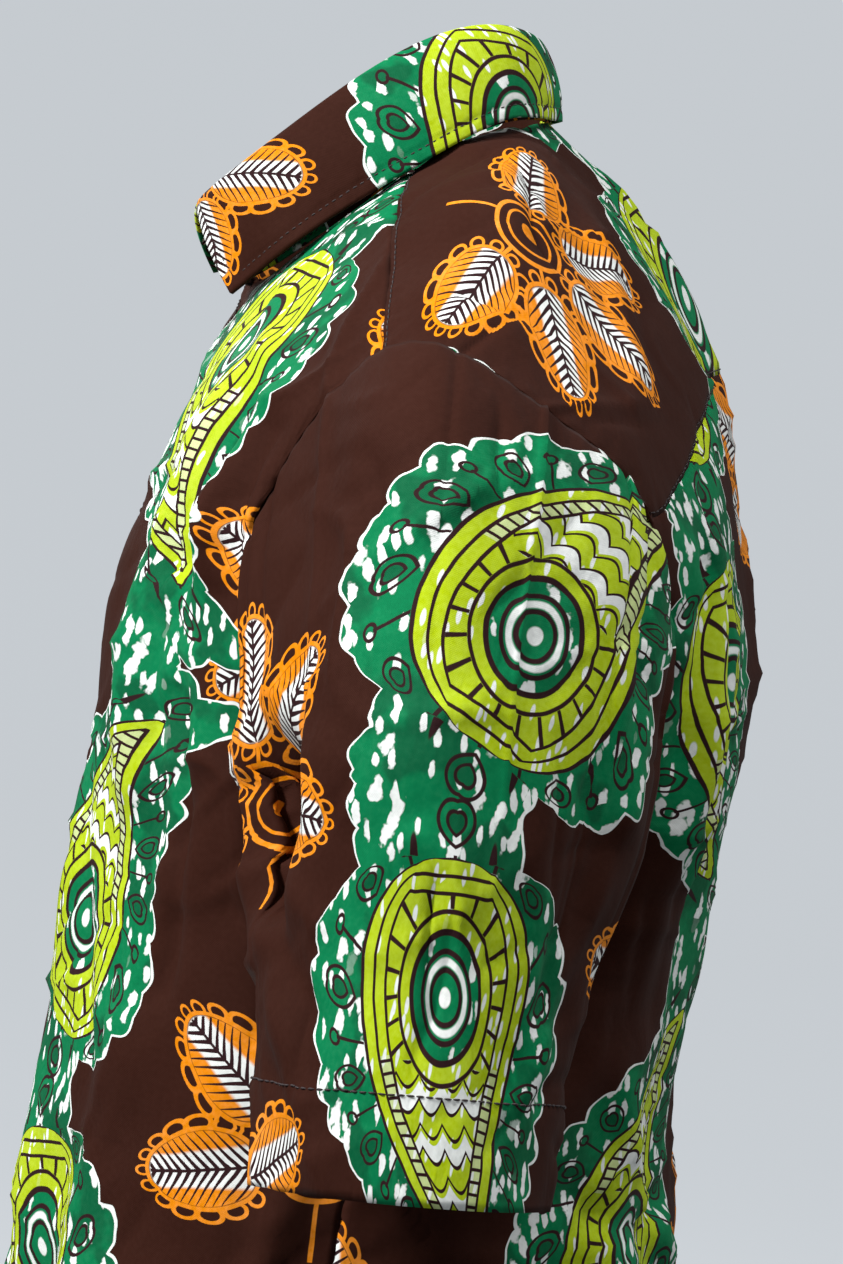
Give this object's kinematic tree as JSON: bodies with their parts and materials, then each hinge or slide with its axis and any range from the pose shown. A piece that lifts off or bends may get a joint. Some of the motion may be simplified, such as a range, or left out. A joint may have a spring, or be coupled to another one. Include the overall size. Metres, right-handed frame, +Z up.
{
  "type": "short-sleeved printed shirt",
  "caption": "Hollow worn shirt with a point collar, yoke, set-in elbow-length sleeves, buttoned placket and a straight hem, in wax-print cotton.",
  "frame": {"origin": "middle of the neck opening, level with the tops of the shoulders beside the collar", "axes": "+Z up along the upright wearer, -Y towards the shirt's front, +X towards the wearer's left"},
  "size_m": [0.63, 0.302, 0.7862],
  "materials": {
    "printed_cotton": "matte wax-print cotton in green, yellow-green, orange, brown and white",
    "dark_button": "satin dark brown plastic"
  },
  "bodies": {
    "root": {"front_left": "printed_cotton", "front_right": "printed_cotton", "back": "printed_cotton", "yoke": "printed_cotton", "collar_stand": "printed_cotton", "collar_leaf": "printed_cotton", "sleeve_left": "printed_cotton", "sleeve_right": "printed_cotton", "button_1": "dark_button", "button_2": "dark_button", "button_3": "dark_button", "button_4": "dark_button", "button_5": "dark_button", "button_6": "dark_button", "button_collar": "dark_button"}
  },
  "joints": []
}
